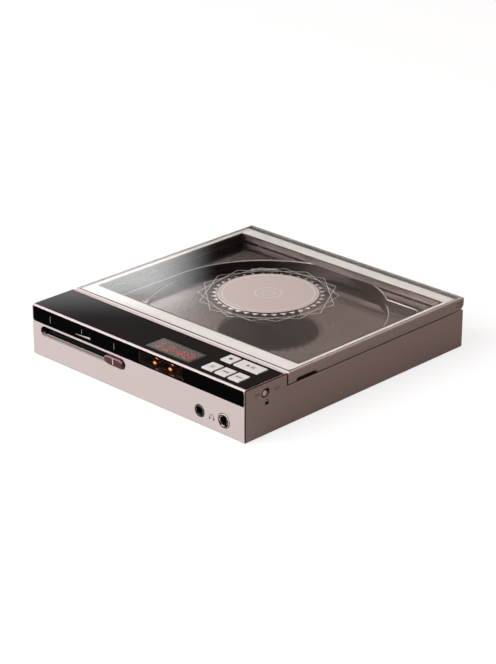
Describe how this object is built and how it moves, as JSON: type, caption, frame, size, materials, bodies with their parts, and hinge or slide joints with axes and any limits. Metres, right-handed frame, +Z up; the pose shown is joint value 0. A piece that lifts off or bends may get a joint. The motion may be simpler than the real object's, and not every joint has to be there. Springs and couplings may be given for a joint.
{
  "type": "portable disc player",
  "caption": "Flat aluminium disc player with a hinged glass lid over a sunk disc well, a control block with keys and a dot display, a volume slide and two headphone jacks.",
  "frame": {"origin": "middle of the outline on the surface that the feet stand on", "axes": "+X to the right along the front, +Y from the front face to the hinge, +Z up through the lid"},
  "size_m": [0.15, 0.159, 0.0279],
  "materials": {
    "anodised_case": "bead-blasted, rose champagne anodised",
    "black_gloss": "black high gloss",
    "dark_glass": "smoked clear glass",
    "display_face": "dark gloss over a dot grid",
    "silver_keys": "satin silver",
    "knob_maroon": "maroon anodised",
    "black_plastic": "matt black moulded",
    "grey_plastic": "matt grey moulded",
    "deck_metal": "satin metallic grey paint",
    "bright_metal": "plain bright",
    "dark_metal": "dark nickel plated",
    "badge_metal": "satin champagne anodised",
    "clear_glass": "clear polished",
    "valve_glow": "glowing filament plates",
    "rubber": "matt black",
    "board_green": "green solder mask",
    "battery_wrap": "satin film"
  },
  "bodies": {
    "case": {"case_body": "anodised_case", "bottom_cover": "anodised_case", "top_panel": "black_gloss", "front_strip": "black_gloss", "valve_window": "dark_glass", "display_module": "display_face", "valve_holder": "black_plastic", "headphone_jack_3_5": "black_plastic", "headphone_jack_4_4": "black_plastic", "lock_switch": "black_plastic", "disc_tray": "deck_metal", "jack_ring_4_4": "bright_metal", "usb_c_socket": "bright_metal", "spindle_motor": "bright_metal", "mech_chassis": "bright_metal", "guide_rod_left": "bright_metal", "guide_rod_right": "bright_metal", "sled_motor": "bright_metal", "hinge_bracket_left": "bright_metal", "hinge_bracket_right": "bright_metal", "jack_ring_3_5": "dark_metal", "volume_fader": "dark_metal", "cover_screw_1": "dark_metal", "cover_screw_2": "dark_metal", "cover_screw_3": "dark_metal", "cover_screw_4": "dark_metal", "valve_left": "clear_glass", "valve_right": "clear_glass", "valve_left_electrodes": "valve_glow", "valve_right_electrodes": "valve_glow", "foot_1": "rubber", "foot_2": "rubber", "foot_3": "rubber", "foot_4": "rubber", "damper_1": "rubber", "damper_2": "rubber", "damper_3": "rubber", "damper_4": "rubber", "key_board": "board_green", "main_board": "board_green", "battery_pack": "battery_wrap"},
    "key_stop": {"key_stop": "silver_keys"},
    "key_play": {"key_play": "silver_keys"},
    "key_menu": {"key_menu": "silver_keys"},
    "key_previous": {"key_previous": "silver_keys"},
    "key_next": {"key_next": "silver_keys"},
    "volume": {"volume_knob": "knob_maroon"},
    "lock": {"lock_knob": "silver_keys"},
    "turntable": {"turntable_hub": "black_plastic", "turntable_mat": "rubber"},
    "sled": {"optical_sled": "grey_plastic"},
    "lens": {"objective_lens": "dark_glass"},
    "feed_screw": {"lead_screw": "bright_metal"},
    "lid": {"lid_frame": "anodised_case", "lid_glass": "clear_glass", "lid_badge": "badge_metal", "hinge_pin_left": "dark_metal", "hinge_pin_right": "dark_metal", "lid_magnet_left": "dark_metal", "lid_magnet_right": "dark_metal"}
  },
  "joints": [
    {"name": "lid_hinge", "type": "hinge", "parent": "case", "child": "lid", "pos_m": [0, 0.0763, 0.0245], "axis": [-1, 0, 0], "range_deg": [0, 80]},
    {"name": "volume_slide", "type": "slide", "parent": "case", "child": "volume", "axis": [-1, 0, 0], "range_m": [0, 0.047]},
    {"name": "lock_slide", "type": "slide", "parent": "case", "child": "lock", "axis": [0, 1, 0], "range_m": [0, 0.0016]},
    {"name": "key_stop_press", "type": "slide", "parent": "case", "child": "key_stop", "axis": [0, 0, -1], "range_m": [0, 0.0004], "stiffness_N_per_m": 600, "springref_m": -0.0005},
    {"name": "key_play_press", "type": "slide", "parent": "case", "child": "key_play", "axis": [0, 0, -1], "range_m": [0, 0.0004], "stiffness_N_per_m": 600, "springref_m": -0.0005},
    {"name": "key_menu_press", "type": "slide", "parent": "case", "child": "key_menu", "axis": [0, 0, -1], "range_m": [0, 0.0004], "stiffness_N_per_m": 600, "springref_m": -0.0005},
    {"name": "key_previous_press", "type": "slide", "parent": "case", "child": "key_previous", "axis": [0, 0, -1], "range_m": [0, 0.0004], "stiffness_N_per_m": 600, "springref_m": -0.0005},
    {"name": "key_next_press", "type": "slide", "parent": "case", "child": "key_next", "axis": [0, 0, -1], "range_m": [0, 0.0004], "stiffness_N_per_m": 600, "springref_m": -0.0005},
    {"name": "turntable_spin", "type": "hinge", "parent": "case", "child": "turntable", "pos_m": [0, 0.0135, 0.0162], "axis": [0, 0, 1], "continuous": true},
    {"name": "sled_slide", "type": "slide", "parent": "case", "child": "sled", "axis": [-0.7071, 0.7071, 0], "range_m": [0, 0.032]},
    {"name": "feed_screw_spin", "type": "hinge", "parent": "case", "child": "feed_screw", "pos_m": [0.01174, 0.02524, 0.0093], "axis": [-0.7071, 0.7071, 0], "range_deg": [0, 3841]},
    {"name": "lens_focus", "type": "slide", "parent": "sled", "child": "lens", "axis": [0, 0, 1], "range_m": [-0.0002, 0.0002], "stiffness_N_per_m": 100}
  ],
  "couplings": [
    {"joint": "feed_screw_spin", "follows": "sled_slide", "rad_per_m": 2094.4}
  ]
}
